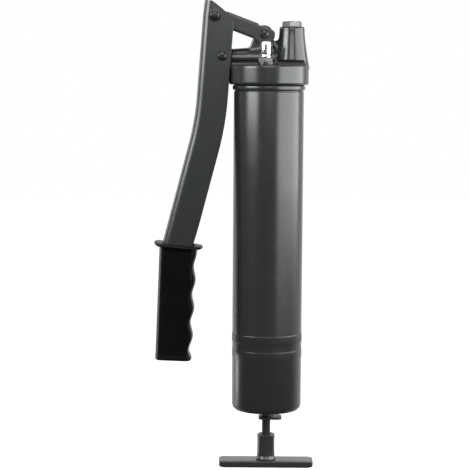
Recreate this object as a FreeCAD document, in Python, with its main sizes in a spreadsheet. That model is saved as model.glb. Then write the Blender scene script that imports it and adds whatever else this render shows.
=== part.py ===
# Lever grease gun, modelled upright: +Z runs up the barrel to the head, the lever is on the -X side
# and the origin is on the barrel's axis, in the middle of the stretch that a clamp would hold.
import FreeCAD, Part
import math
import os
import re

import Sketcher

Vector = FreeCAD.Vector

# Driving sizes in millimetres and degrees
SIZES = {
    # Barrel
    "barrel_radius": 28.0,
    "barrel_wall": 1.2,
    "barrel_rim": 141.6,
    "barrel_end": -131.6,
    "corner_radius": 10.0,
    "crown": 1.6,
    "bead_drop": 4.1,
    "bead_width": 3.6,
    "bead_radius": 2.1,
    "band_rise": 0.3,
    "band_width": 7.0,
    "band_place": 43.2,
    "band_pitch": 12.9,
    # Head casting
    "thread_gap": 0.3,
    "seat_gap": 0.05,
    "gasket_thick": 1.5,
    "gasket_width": 2.4,
    "deck_thick": 3.5,
    "collar_wall": 3.5,
    "thread_length": 10.5,
    "collar_bevel": 0.8,
    # Pump cylinder and plunger
    "pump_rise": 6.8,
    "mouth_radius": 5.8,
    "pump_back": 4.5,
    "back_radius": 7.2,
    "rib_thick": 8.0,
    "bridge_radius": 5.3,
    "plunger_radius": 3.5,
    "plunger_fit": 0.05,
    "bore_end": 9.5,
    "bore_spare": 0.9,
    "packing_radius": 4.75,
    "packing_depth": 3.0,
    "gland_depth": 1.6,
    "gland_gap": 0.05,
    "port_radius": 2.0,
    "port_place": 14.0,
    "passage_radius": 2.2,
    # Outlet tower
    "tower_place": 18.0,
    "tower_rise": 22.5,
    "tower_radius": 9.8,
    "tower_foot": 12.6,
    "tower_shoulder": 2.4,
    "valve_rise": 4.0,
    "valve_room": 4.0,
    "ball_radius": 3.0,
    "ball_gap": 0.3,
    "outlet_bore": 4.5,
    "outlet_thread": 9.0,
    "stub_radius": 6.6,
    "stub_gap": 0.05,
    "stub_length": 7.0,
    "outlet_hex": 14.0,
    "outlet_hex_height": 5.4,
    "outlet_seat_gap": 0.1,
    "outlet_throat": 1.6,
    # Lug and link
    "lug_place": 4.3,
    "lug_rise": 17.6,
    "lug_thick": 12.8,
    "lug_radius": 7.2,
    "lug_foot": 11.5,
    "side_gap": 0.3,
    "sheet": 2.0,
    "pivot_rise": 32.3,
    "pivot_inset": 5.8,
    "link_end": 6.6,
    "link_eye": 8.0,
    "link_waist": 6.0,
    "link_web_start": 8.0,
    "link_web_end": 35.0,
    "pin_radius": 3.0,
    "pin_fit": 0.05,
    "lug_head": 3.7,
    "head_thick": 1.5,
    # Lever
    "lever_sheet": 2.0,
    "lever_gap": 0.4,
    "lever_depth": 24.0,
    "upper_lean": 4.1,
    "lower_lean": 14.6,
    "grip_lean": 2.0,
    "lever_crest": 11.9,
    "brow_start": 5.0,
    "brow_drop": 16.5,
    "brow_radius": 45.0,
    "knee_drop": 46.3,
    "knee_tangent": 20.0,
    "lower_length": 101.5,
    "tail_length": 86.0,
    "tail_depth": 20.0,
    "tail_slope": 12.0,
    "lever_pin_head": 5.2,
    "lever_pin_boss": 2.7,
    "push_inset": 6.8,
    "push_radius": 2.0,
    "push_head": 3.7,
    "eye_half": 5.5,
    "eye_slot_rise": 4.9,
    "eye_slot_half": 3.2,
    "eye_wall": 1.8,
    "eye_gap": 1.8,
    # Grip
    "grip_gap": 0.15,
    "grip_back": 3.2,
    "grip_depth": 30.5,
    "grip_width": 27.0,
    "grip_length": 94.2,
    "crest_start": 3.4,
    "crest_spare": 0.4,
    "crest_radius": 34.0,
    "flange_depth": 39.4,
    "flange_width": 35.0,
    "flange_thick": 4.0,
    "flange_rise": 3.0,
    # Filler nipple
    "nipple_x": 3.0,
    "nipple_edge": 13.8,
    "nipple_height": 18.6,
    "nipple_radius": 4.1,
    "nipple_flange": 6.4,
    "nipple_flange_thick": 2.2,
    "nipple_hex": 11.0,
    "nipple_hex_thick": 4.0,
    "nipple_thread": 3.2,
    "nipple_room": 2.4,
    "nipple_mouth": 1.1,
    "nipple_ball_radius": 1.8,
    "nipple_floor": 1.5,
    "thread_slack": 0.05,
    # Rod, follower and handle
    "rod_radius": 3.5,
    "rod_fit": 0.05,
    "rod_play": 0.3,
    "bush_radius": 6.0,
    "bush_flange": 9.0,
    "bush_flange_thick": 1.6,
    "bush_nose": 0.2,
    "follower_drop": 9.6,
    "cup_gap": 0.3,
    "cup_height": 12.0,
    "cup_floor": 3.0,
    "cup_lip": 2.2,
    "plate_radius": 18.0,
    "washer_radius": 22.0,
    "plate_thick": 1.5,
    "nut_hex": 13.0,
    "nut_thick": 5.5,
    "rod_collar": 6.5,
    "rod_collar_thick": 2.5,
    "hub_gap": 12.5,
    "hub_radius": 7.2,
    "hub_skirt": 8.1,
    "hub_height": 21.0,
    "hub_bevel": 1.2,
    "hub_dish": 5.2,
    "hub_dish_depth": 2.0,
    "bar_length": 76.4,
    "bar_width": 21.4,
    "bar_thick": 6.4,
    "bar_tip_thick": 5.1,
    "bar_corner": 5.0,
    "bar_cover": 1.0,
    # Springs
    "spring_radius": 19.0,
    "spring_wire": 1.8,
    "spring_turns": 16.0,
    "spring_seat": 0.3,
    "check_wire": 0.6,
    "check_coil": 2.1,
    "check_turns": 4.0,
    "nipple_wire": 0.4,
    "nipple_coil": 1.3,
    "nipple_turns": 5.0,
    "latch_wire": 0.9,
    "latch_coil": 5.2,
    "latch_turns": 2.0,
    # Latch
    "latch_drop": 4.0,
    "latch_thick": 1.8,
    "latch_left": 9.0,
    "latch_right": 12.6,
    "latch_half": 8.0,
    "latch_hole": 4.1,
    "latch_lip": 2.4,
}

# Lengths that several pieces share, as formulas on the driving sizes and on each other
SHARED = {
    # Heights up the barrel and head
    "crown_foot": "(barrel_end - crown)",
    "collar_foot": "(barrel_rim - thread_length)",
    "bead_foot": "(collar_foot - bead_drop)",
    "lower_band": "(barrel_end + band_place)",
    "upper_band": "(lower_band + band_pitch)",
    "deck": "(barrel_rim + 2 * seat_gap + gasket_thick)",
    "collar_top": "(deck + deck_thick)",
    "pump_height": "(collar_top + pump_rise)",
    "tower_top": "(pump_height + tower_rise)",
    "valve_seat": "(pump_height + valve_rise)",
    "ball_height": "(valve_seat + ball_gap + sqrt(ball_radius^2 - passage_radius^2))",
    "lug_height": "(pump_height + lug_rise)",
    "pivot_height": "(pump_height + pivot_rise)",
    # Widths across the link and lever
    "collar_radius": "(barrel_radius + thread_gap + collar_wall)",
    "link_inside": "(lug_thick / 2 + side_gap)",
    "link_half": "(link_inside + sheet)",
    "lever_inside": "(link_half + side_gap)",
    "lever_half": "(lever_inside + lever_sheet)",
    # Places out from the barrel's axis
    "collar_chord": "sqrt(collar_radius^2 - lever_inside^2)",
    "lever_seat": "(collar_chord + lever_gap)",
    "push_place": "(lever_seat + push_inset)",
    "pivot_place": "(push_place + pivot_inset)",
    "pump_mouth": "(push_place - eye_slot_half - eye_wall - eye_gap)",
    "plunger_end": "(bore_end - bore_spare)",
    # Link and lever lines
    "link_length": "sqrt((pivot_place - lug_place)^2 + (pivot_height - lug_height)^2)",
    "link_lean": "atan((pivot_height - lug_height) / (pivot_place - lug_place))",
    "half_bend": "((lower_lean - upper_lean) / 2)",
    "mean_lean": "((lower_lean + upper_lean) / 2)",
    "lever_head": "((pivot_height + lever_crest - collar_top) / cos(upper_lean) "
                  "- lever_depth * tan(upper_lean))",
    # Grip and filler nipple
    "crest_pitch": "((grip_length - crest_start - crest_spare) / 4)",
    "nipple_y": "(collar_radius - nipple_edge)",
    "nipple_top": "(collar_top + nipple_height)",
    "nipple_bottom": "(collar_top + nipple_floor)",
    "nipple_ball": "(nipple_top - nipple_mouth - ball_gap "
                   "- sqrt(nipple_ball_radius^2 - nipple_mouth^2))",
    # Follower, latch and handle
    "follower_top": "(barrel_rim - follower_drop)",
    "cup_foot": "(follower_top - cup_height)",
    "washer_foot": "(cup_foot - plate_thick)",
    "nut_foot": "(cup_foot + cup_floor + plate_thick + seat_gap)",
    "latch_top": "(crown_foot - latch_drop)",
    "hub_top": "(latch_top - latch_thick - hub_gap)",
    "hub_foot": "(hub_top - hub_height)",
}

doc = FreeCAD.newDocument("grease_gun")
sheet = doc.addObject("Spreadsheet::Sheet", "Sizes")
for row, (alias, size) in enumerate(SIZES.items(), start=1):
    sheet.set("A%d" % row, alias)
    sheet.set("B%d" % row, str(size))
    sheet.setAlias("B%d" % row, alias)
doc.recompute()

PARTS = []


# Formulas on the sheet

def bound(text):
    """The formula with every size's name pointing at its cell."""
    def cell(match):
        word = match[0]
        if word in SHARED:
            return bound(SHARED[word])
        return "Sizes." + word if word in SIZES else word
    return re.sub(r"[a-z_]+", cell, text)


def number(text):
    """The formula's value now."""
    return float(sheet.evalExpression(bound(text)))


def bind(thing, field, text):
    thing.setExpression(field, bound(text))


def place(thing, spot, axis=None, angle=0.0):
    """Put a thing at a spot of three formulas, turned by an angle in degrees about an axis."""
    if axis is not None:
        thing.Placement = FreeCAD.Placement(Vector(), FreeCAD.Rotation(axis, angle))
    for name, text in zip("xyz", spot):
        bind(thing, "Placement.Base." + name, text)


X_AXIS, Y_AXIS, Z_AXIS = Vector(1, 0, 0), Vector(0, 1, 0), Vector(0, 0, 1)


# Sketches: a closed outline of corners, each two formulas, and for an arc to the next corner
# also its radius and its sense, 1 for a left turn and -1 for a right turn

def arc_between(start, end, radius, sense):
    half = (end - start) * 0.5
    across = Vector(-half.y, half.x, 0).normalize()
    rise = math.sqrt(max(radius ** 2 - half.Length ** 2, 0.0))
    centre = (start + end) * 0.5 + across * (rise * sense)
    first, last = (start, end) if sense > 0 else (end, start)
    angles = [math.atan2(spot.y - centre.y, spot.x - centre.x) for spot in (first, last)]
    if angles[1] < angles[0]:
        angles[1] += 2 * math.pi
    return Part.ArcOfCircle(Part.Circle(centre, Z_AXIS, radius), angles[0], angles[1])


def outline(body, name, corners):
    """A sketch on the body's XZ plane with its corners bound to the sheet."""
    sketch = body.newObject("Sketcher::SketchObject", name)
    planes = body.Origin.OriginFeatures
    sketch.AttachmentSupport = [([p for p in planes if p.Role == "XZ_Plane"][0], "")]
    sketch.MapMode = "FlatFace"
    spots = [Vector(number(corner[0]), number(corner[1]), 0) for corner in corners]
    starts, ends = [], []
    for index, corner in enumerate(corners):
        start, end = spots[index], spots[(index + 1) % len(spots)]
        if len(corner) == 2:
            piece = sketch.addGeometry(Part.LineSegment(start, end), False)
            sense = 1
        else:
            sense = corner[3]
            arc = arc_between(start, end, number(corner[2]), sense)
            piece = sketch.addGeometry(arc, False)
            rule = sketch.addConstraint(Sketcher.Constraint("Radius", piece, arc.Radius))
            bind(sketch, "Constraints[%d]" % rule, corner[2])
        starts.append((piece, 1 if sense > 0 else 2))
        ends.append((piece, 2 if sense > 0 else 1))
    for index, corner in enumerate(corners):
        sketch.addConstraint(Sketcher.Constraint("Coincident", *ends[index - 1], *starts[index]))
        for axis, kind, line in ((0, "DistanceX", -2), (1, "DistanceY", -1)):
            if corner[axis] == "0":
                rule = Sketcher.Constraint("PointOnObject", *starts[index], line)
                sketch.addConstraint(rule)
                continue
            size = spots[index][axis]
            rule = Sketcher.Constraint(kind, -1, 1, *starts[index], size)
            bind(sketch, "Constraints[%d]" % sketch.addConstraint(rule), corner[axis])
    return sketch


def new_body(name):
    return doc.addObject("PartDesign::Body", name)


def turned(name, corners):
    """A body turned about its own Z axis from an outline of radius and height."""
    body = new_body(name)
    sketch = outline(body, name + "_outline", corners)
    turn = body.newObject("PartDesign::Revolution", name + "_turn")
    turn.Profile = sketch
    turn.ReferenceAxis = (sketch, ["V_Axis"])
    turn.Angle = 360.0
    sketch.Visibility = False
    return body


def padded(name, corners, width):
    """A body padded to both sides of the XZ plane from an outline, to a whole width."""
    body = new_body(name)
    sketch = outline(body, name + "_outline", corners)
    pad = body.newObject("PartDesign::Pad", name + "_pad")
    pad.Profile = sketch
    pad.Midplane = True
    bind(pad, "Length", width)
    sketch.Visibility = False
    return body


def cylinder(name, radius, height, spot, axis=None, angle=0.0):
    """A cylinder along its own Z axis, turned and placed."""
    shape = doc.addObject("Part::Cylinder", name)
    bind(shape, "Radius", radius)
    bind(shape, "Height", height)
    place(shape, spot, axis, angle)
    return shape


def hexagon(name, flats, height, spot):
    """A hexagonal prism given across its flats, with two flats facing the front and back."""
    shape = doc.addObject("Part::Prism", name)
    shape.Polygon = 6
    bind(shape, "Circumradius", "%s / 2 / cos(30)" % flats)
    bind(shape, "Height", height)
    place(shape, spot)
    return shape


def fused(name, shapes):
    whole = doc.addObject("Part::MultiFuse", name)
    whole.Shapes = shapes
    whole.Refine = True
    return whole


def cut(name, base, tools):
    """The base less all the tools, each cut in turn."""
    for index, tool in enumerate(tools):
        last = index == len(tools) - 1
        less = doc.addObject("Part::Cut", name if last else "%s_cut_%d" % (name, index + 1))
        less.Base = base
        less.Tool = tool
        less.Refine = last
        base = less
    return base


def sub_part(label, thing):
    """Keep a finished thing as the sub-part of that label."""
    doc.recompute()
    thing.Label = label
    PARTS.append(thing)
    return thing


# Points on a leaning line, for the lever and its grip

def down(spot, length, lean):
    """The spot moved down a line that leans away from the barrel by an angle."""
    return ("%s - (%s) * sin(%s)" % (spot[0], length, lean),
            "%s - (%s) * cos(%s)" % (spot[1], length, lean))


def across(spot, length, lean):
    """The spot moved towards the barrel, square to that line."""
    return ("%s + (%s) * cos(%s)" % (spot[0], length, lean),
            "%s - (%s) * sin(%s)" % (spot[1], length, lean))


# Barrel: a drawn steel tube with a domed end, a rolled bead under the head and two rolled bands

def band(foot):
    low, high = foot, "%s + band_width" % foot
    return [("barrel_radius", low),
            ("barrel_radius + band_rise", "%s + band_rise" % low),
            ("barrel_radius + band_rise", "%s - band_rise" % high),
            ("barrel_radius", high)]


def make_barrel():
    bend = "barrel_end + corner_radius"
    corners = [("bush_radius", "crown_foot"),
               ("barrel_radius - corner_radius", "barrel_end", "corner_radius", 1),
               ("barrel_radius", bend)]
    corners += band("lower_band") + band("upper_band")
    corners += [("barrel_radius", "bead_foot", "bead_radius", 1),
                ("barrel_radius", "bead_foot + bead_width"),
                ("barrel_radius", "barrel_rim"),
                ("barrel_radius - barrel_wall", "barrel_rim"),
                ("barrel_radius - barrel_wall", bend, "corner_radius - barrel_wall", -1),
                ("barrel_radius - corner_radius", "barrel_end + barrel_wall"),
                ("bush_radius", "crown_foot + barrel_wall")]
    sub_part("barrel_tube", turned("Barrel", corners))


def make_rod_bush():
    bore = "rod_radius + rod_fit"
    flange = "crown_foot + barrel_wall + crown"
    corners = [(bore, "crown_foot - bush_nose"),
               ("bush_radius - rod_fit", "crown_foot - bush_nose"),
               ("bush_radius - rod_fit", flange),
               ("bush_flange", flange),
               ("bush_flange", flange + " + bush_flange_thick"),
               (bore, flange + " + bush_flange_thick")]
    sub_part("rod_bush", turned("RodBush", corners))


# Head: one casting with the collar, pump cylinder, lug and outlet tower

def head_collar():
    outer, inner = "collar_radius", "barrel_radius + thread_gap"
    corners = [("0", "deck"), (inner, "deck"), (inner, "collar_foot"),
               (outer + " - collar_bevel", "collar_foot"),
               (outer, "collar_foot + collar_bevel"),
               (outer, "collar_top - collar_bevel"),
               (outer + " - collar_bevel", "collar_top"), ("0", "collar_top")]
    return turned("HeadCollar", corners)


def head_pump():
    length = "pump_mouth + pump_back"
    corners = [("0", "0"), ("mouth_radius - collar_bevel", "0"),
               ("mouth_radius", "collar_bevel"), ("back_radius", length), ("0", length)]
    pump = turned("HeadPump", corners)
    place(pump, ("-pump_mouth", "0", "pump_height"), Y_AXIS, 90)
    bridge = cylinder("HeadBridge", "bridge_radius", "tower_place - pump_back + collar_bevel",
                      ("pump_back - collar_bevel", "0", "pump_height"), Y_AXIS, 90)
    rib = doc.addObject("Part::Box", "HeadRib")
    bind(rib, "Length", "pump_mouth + tower_place - collar_wall")
    bind(rib, "Width", "rib_thick")
    bind(rib, "Height", "pump_rise + deck_thick / 2")
    place(rib, ("-pump_mouth + collar_wall", "-rib_thick / 2", "collar_top - deck_thick / 2"))
    return [pump, bridge, rib]


def head_lug():
    left, right = "-lug_place - lug_radius", "-lug_place + lug_radius"
    corners = [("-lug_place - lug_foot", "pump_height"), (right, "pump_height"),
               (right, "lug_height", "lug_radius", 1),
               ("-lug_place", "lug_height + lug_radius", "lug_radius", 1),
               (left, "lug_height")]
    return padded("HeadLug", corners, "lug_thick")


def head_tower():
    corners = [("0", "collar_top - deck_thick / 2"),
               ("tower_foot", "collar_top - deck_thick / 2"),
               ("tower_radius", "tower_top - tower_shoulder", "tower_shoulder * 1.1", 1),
               ("tower_radius - tower_shoulder", "tower_top"), ("0", "tower_top")]
    tower = turned("HeadTower", corners)
    place(tower, ("tower_place", "0", "0"))
    return tower


def head_bores():
    mouth = ("-pump_mouth - seat_gap", "0", "pump_height")
    tower = ("tower_place", "0", "pump_height")
    return [
        cylinder("PumpBore", "plunger_radius + plunger_fit", "pump_mouth + bore_end + seat_gap",
                 mouth, Y_AXIS, 90),
        cylinder("PackingBore", "packing_radius", "packing_depth + gland_depth + 2 * seat_gap",
                 mouth, Y_AXIS, 90),
        cylinder("OutletPassage", "passage_radius", "tower_place - bore_end + seat_gap",
                 ("bore_end - seat_gap", "0", "pump_height"), Y_AXIS, 90),
        cylinder("ValvePassage", "passage_radius", "valve_seat - pump_height + seat_gap",
                 tower),
        cylinder("ValveRoom", "valve_room", "tower_top - valve_seat",
                 ("tower_place", "0", "valve_seat")),
        cylinder("StubBore", "stub_radius", "stub_length + outlet_seat_gap",
                 ("tower_place", "0", "tower_top - stub_length")),
        cylinder("GreasePort", "port_radius", "pump_rise + deck_thick + seat_gap",
                 ("-port_place", "0", "deck - seat_gap")),
        cylinder("FillPort", "nipple_thread", "deck_thick + 2 * seat_gap",
                 ("-nipple_x", "-nipple_y", "deck - seat_gap")),
        cylinder("LugBore", "pin_radius + pin_fit", "lug_thick + 2 * side_gap",
                 ("-lug_place", "lug_thick / 2 + side_gap", "lug_height"), X_AXIS, 90),
    ]


def make_head():
    solids = [head_collar(), head_lug(), head_tower()] + head_pump()
    head = fused("HeadSolid", solids)
    sub_part("head_casting", cut("HeadCasting", head, head_bores()))


def ring(name, label, inner, outer, height, spot, axis=None, angle=0.0):
    """A plain ring of four corners."""
    body = turned(name, [(inner, "0"), (outer, "0"), (outer, height), (inner, height)])
    place(body, spot, axis, angle)
    return sub_part(label, body)


def make_head_rings():
    ring("Gasket", "head_gasket", "barrel_radius - gasket_width", "barrel_radius", "gasket_thick",
         ("0", "0", "barrel_rim + seat_gap"))
    inner, outer = "plunger_radius + plunger_fit", "packing_radius - gland_gap"
    ring("Packing", "plunger_seal", inner, outer, "packing_depth",
         ("-pump_mouth + gland_depth + seat_gap", "0", "pump_height"), Y_AXIS, 90)
    ring("Gland", "gland_ring", inner, outer, "gland_depth",
         ("-pump_mouth", "0", "pump_height"), Y_AXIS, 90)


# Outlet: a threaded adapter over a sprung ball

def make_outlet():
    stub = cylinder("AdapterStub", "stub_radius - stub_gap", "stub_length",
                    ("tower_place", "0", "tower_top - stub_length + outlet_seat_gap"))
    cap = hexagon("AdapterHex", "outlet_hex", "outlet_hex_height",
                  ("tower_place", "0", "tower_top + outlet_seat_gap"))
    whole = fused("AdapterSolid", [stub, cap])
    top = "tower_top + outlet_seat_gap + outlet_hex_height"
    thread = cylinder("AdapterThread", "outlet_bore", "outlet_thread + seat_gap",
                      ("tower_place", "0", top + " - outlet_thread"))
    throat = cylinder("AdapterThroat", "outlet_throat", "stub_length + outlet_hex_height",
                      ("tower_place", "0", "tower_top - stub_length"))
    sub_part("outlet_adapter", cut("OutletAdapter", whole, [thread, throat]))


def make_ball(name, label, radius, spot):
    ball = doc.addObject("Part::Sphere", name)
    bind(ball, "Radius", radius)
    place(ball, spot)
    sub_part(label, ball)




# Filler nipple: turned steel with a flange and a hexagon, hollow for its own sprung ball

def make_nipple():
    spot = ("-nipple_x", "-nipple_y", "collar_top")
    collar = "nipple_flange_thick"
    hexed = "(nipple_flange_thick + nipple_hex_thick)"
    corners = [("0", "-deck_thick"), ("nipple_thread - thread_slack", "-deck_thick"),
               ("nipple_thread - thread_slack", "seat_gap"), ("nipple_flange", "seat_gap"),
               ("nipple_flange", collar), ("nipple_radius", collar), ("nipple_radius", hexed),
               ("nipple_radius", "nipple_height - nipple_mouth"),
               ("nipple_radius - nipple_mouth", "nipple_height"), ("0", "nipple_height")]
    shank = turned("NippleShank", corners)
    place(shank, spot)
    nut = hexagon("NippleHex", "nipple_hex", "nipple_hex_thick",
                  (spot[0], spot[1], "collar_top + nipple_flange_thick"))
    whole = fused("NippleSolid", [shank, nut])
    room = cylinder("NippleRoom", "nipple_room",
                    "nipple_height - nipple_mouth - nipple_floor", (spot[0], spot[1], "nipple_bottom"))
    mouth = cylinder("NippleMouth", "nipple_mouth", "nipple_height + 2 * deck_thick",
                     (spot[0], spot[1], "collar_top - deck_thick - seat_gap"))
    sub_part("filler_nipple", cut("FillerNipple", whole, [room, mouth]))


# Link: folded sheet, laid out along its own line from the lever's pin to the lug's pin

def make_link():
    corners = [("-link_end", "0", "link_end", 1), ("0", "-link_end"),
               ("link_waist", "-link_waist"),
               ("link_length - link_waist", "-link_waist"),
               ("link_length", "-link_eye", "link_eye", 1),
               ("link_length + link_eye", "0", "link_eye", 1),
               ("link_length", "link_eye"), ("0", "link_end", "link_end", 1)]
    slab = padded("LinkSlab", corners, "2 * link_half")
    far = "2 * link_eye"
    under = [("-" + far, "-" + far), ("link_length + " + far, "-" + far),
             ("link_length + " + far, far), ("link_web_end", far),
             ("link_web_end", "link_end - sheet"), ("link_web_start", "link_end - sheet"),
             ("link_web_start", far), ("-" + far, far)]
    hollow = padded("LinkHollow", under, "2 * link_inside")
    tools = [hollow]
    for name, along in (("LinkLeverBore", "0"), ("LinkLugBore", "link_length")):
        tools.append(cylinder(name, "pin_radius + pin_fit", "4 * link_half",
                              (along, "2 * link_half", "0"), X_AXIS, 90))
    link = cut("Link", slab, tools)
    place(link, ("-pivot_place", "0", "pivot_height"), Y_AXIS, number("link_lean"))
    sub_part("link", link)


# Lever: a folded channel with a knee, whose tail runs down inside the grip

SEAT = ("-lever_seat", "collar_top")
BACK_SEAT = across(SEAT, "-lever_depth", "upper_lean")
BACK_TOP = down(BACK_SEAT, "-lever_head", "upper_lean")
KNEE = down(BACK_SEAT, "knee_drop", "upper_lean")
ANKLE = down(KNEE, "lower_length", "lower_lean")


def lever_line(offset):
    """Corners down a line at an offset from the channel's back, with the knee as an arc."""
    knee = across(KNEE, "(%s) / cos(half_bend)" % offset, "mean_lean")
    tangent = "knee_tangent + (%s) * tan(half_bend)" % offset
    above = down(knee, "-(%s)" % tangent, "upper_lean")
    below = down(knee, tangent, "lower_lean")
    radius = "(%s) / tan(half_bend)" % tangent
    ankle = across(ANKLE, offset, "grip_lean")
    return above, below, radius, ankle


def make_lever():
    above, below, radius, ankle = lever_line("0")
    front_above, front_below, front_radius, front_ankle = lever_line("lever_depth")
    tail = down(ANKLE, "tail_length", "grip_lean")
    brow = across(BACK_TOP, "brow_start", "upper_lean")
    temple = down(across(BACK_TOP, "lever_depth", "upper_lean"), "brow_drop", "upper_lean")
    corners = [BACK_TOP, above + (radius, -1), below, ANKLE, tail,
               across(tail, "tail_depth", "grip_lean"),
               down(across(ANKLE, "tail_depth", "grip_lean"), "tail_slope", "grip_lean"),
               front_ankle, front_below + (front_radius, 1), front_above,
               temple + ("brow_radius", 1), brow]
    slab = padded("LeverSlab", corners, "2 * lever_half")
    above, below, radius, ankle = lever_line("lever_sheet")
    far = "2 * lever_depth"
    top = across(down(BACK_TOP, "-lever_depth", "upper_lean"), "lever_sheet", "upper_lean")
    foot = down(ankle, "2 * tail_length", "grip_lean")
    inside = [top, above + (radius, -1), below, ankle, foot,
              across(foot, far, "grip_lean"), across(ankle, far, "grip_lean"),
              across(above, far, "upper_lean"), across(top, far, "upper_lean")]
    hollow = padded("LeverHollow", inside, "2 * lever_inside")
    bores = [hollow,
             cylinder("LeverPinBore", "pin_radius + pin_fit", "4 * lever_half",
                      ("-pivot_place", "2 * lever_half", "pivot_height"), X_AXIS, 90),
             cylinder("PushPinBore", "push_radius + pin_fit", "4 * lever_half",
                      ("-push_place", "2 * lever_half", "pump_height"), X_AXIS, 90)]
    sub_part("lever", cut("Lever", slab, bores))


# Grip: a moulded sleeve with a guard flange and four finger hollows

def make_grip():
    start = across(ANKLE, "-grip_back", "grip_lean")
    foot = down(start, "grip_length", "grip_lean")
    crests = [down(across(start, "grip_depth", "grip_lean"),
                   "crest_start + %d * crest_pitch" % index, "grip_lean")
              for index in (4, 3, 2, 1, 0)]
    corners = [start, foot, across(foot, "grip_depth", "grip_lean")]
    corners += [crest + ("crest_radius", -1) for crest in crests[:-1]] + crests[-1:]
    corners.append(across(start, "grip_depth", "grip_lean"))
    sleeve = padded("GripSleeve", corners, "grip_width")
    guard_foot = across(down(start, "flange_thick - flange_rise", "grip_lean"),
                        "(grip_depth - flange_depth) / 2", "grip_lean")
    guard_top = down(guard_foot, "-flange_thick", "grip_lean")
    guard = padded("GripGuard", [guard_top, guard_foot,
                                 across(guard_foot, "flange_depth", "grip_lean"),
                                 across(guard_top, "flange_depth", "grip_lean")], "flange_width")
    solid = fused("GripSolid", [sleeve, guard])
    tail = down(ANKLE, "tail_length + grip_gap", "grip_lean")
    slope = down(across(ANKLE, "tail_depth + grip_gap", "grip_lean"), "tail_slope + grip_gap",
                 "grip_lean")
    rise = "2 * (flange_rise + flange_thick)"
    front = across(ANKLE, "lever_depth + grip_gap", "grip_lean")
    back = across(ANKLE, "-grip_gap", "grip_lean")
    socket = [down(back, "-" + rise, "lower_lean"), back, across(tail, "-grip_gap", "grip_lean"),
              across(tail, "tail_depth + grip_gap", "grip_lean"), slope, front,
              down(front, "-" + rise, "lower_lean")]
    room = padded("GripSocket", socket, "2 * (lever_half + grip_gap)")
    sub_part("lever_grip", cut("LeverGrip", solid, [room]))


# Pins: riveted pins across the lever, laid along Y

def rivet(name, label, radius, half, head, spot, boss=None):
    """A pin with a head on each side, closed over plates that reach out to a half width."""
    outer = "(%s + seat_gap)" % half
    top = "(%s + head_thick)" % outer
    if boss is None:
        cap = [(head, outer), (head, outer + " + head_thick / 2"), (radius, top)]
    else:
        cap = [(head, outer), (head, outer + " + head_thick / 2"),
               (boss, outer + " + head_thick / 2"), (boss, top)]
    mirrored = [(reach, "-(%s)" % height) for reach, height in reversed(cap)]
    corners = [("0", "-" + top)] + mirrored
    corners += [(radius, "-" + outer), (radius, outer)] + cap + [("0", top)]
    pin = turned(name, corners)
    place(pin, spot, X_AXIS, 90)
    sub_part(label, pin)


def make_pins():
    rivet("LugPin", "lug_pin", "pin_radius", "link_half", "lug_head",
          ("-lug_place", "0", "lug_height"))
    rivet("LeverPin", "lever_pin", "pin_radius", "lever_half", "lever_pin_head",
          ("-pivot_place", "0", "pivot_height"), "lever_pin_boss")
    rivet("PushPin", "plunger_pin", "push_radius", "lever_half", "push_head",
          ("-push_place", "0", "pump_height"))


# Plunger: a ground rod with a flat eye, whose slot takes up the lever's arc

def make_plunger():
    rod = cylinder("PlungerRod", "plunger_radius", "push_place + plunger_end",
                   ("-push_place", "0", "pump_height"), Y_AXIS, 90)
    eye = doc.addObject("Part::Box", "PlungerEye")
    bind(eye, "Length", "2 * (eye_slot_half + eye_wall)")
    bind(eye, "Width", "2 * eye_half")
    bind(eye, "Height", "2 * (eye_slot_rise + eye_wall)")
    place(eye, ("-push_place - eye_slot_half - eye_wall", "-eye_half",
                "pump_height - eye_slot_rise - eye_wall"))
    slot = doc.addObject("Part::Box", "PlungerSlot")
    bind(slot, "Length", "2 * eye_slot_half")
    bind(slot, "Width", "4 * eye_half")
    bind(slot, "Height", "2 * eye_slot_rise")
    place(slot, ("-push_place - eye_slot_half", "-2 * eye_half", "pump_height - eye_slot_rise"))
    sub_part("plunger", cut("Plunger", fused("PlungerSolid", [rod, eye]), [slot]))


# Follower: a rubber cup between two plates at the top of the rod

def make_follower():
    reach = "barrel_radius - barrel_wall - cup_gap"
    hole = "rod_radius + rod_play"
    corners = [(hole, "cup_foot"), (reach + " - cup_lip / 2", "cup_foot"),
               (reach, "cup_foot + cup_lip"), (reach, "follower_top"),
               (reach + " - cup_lip", "follower_top"),
               (reach + " - cup_lip", "cup_foot + cup_floor"),
               (hole, "cup_foot + cup_floor")]
    sub_part("follower_cup", turned("FollowerCup", corners))
    ring("FollowerPlate", "follower_plate", hole, "plate_radius", "plate_thick",
         ("0", "0", "cup_foot + cup_floor"))
    ring("FollowerWasher", "follower_washer", hole, "washer_radius", "plate_thick",
         ("0", "0", "washer_foot"))


def make_rod():
    nut = hexagon("NutHex", "nut_hex", "nut_thick", ("0", "0", "nut_foot"))
    bore = cylinder("NutBore", "rod_radius + thread_slack", "2 * nut_thick",
                    ("0", "0", "nut_foot - nut_thick / 2"))
    sub_part("rod_nut", cut("RodNut", nut, [bore]))
    top = "nut_foot + nut_thick + seat_gap"
    collar = "(washer_foot - seat_gap)"
    foot = "hub_foot - bar_thick + bar_cover"
    corners = [("0", foot), ("rod_radius", foot), ("rod_radius", collar + " - rod_collar_thick"),
               ("rod_collar", collar + " - rod_collar_thick"), ("rod_collar", collar),
               ("rod_radius", collar), ("rod_radius", top), ("0", top)]
    sub_part("follower_rod", turned("FollowerRod", corners))


# Handle: a turned hub on a flat bar with a bowed underside

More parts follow.
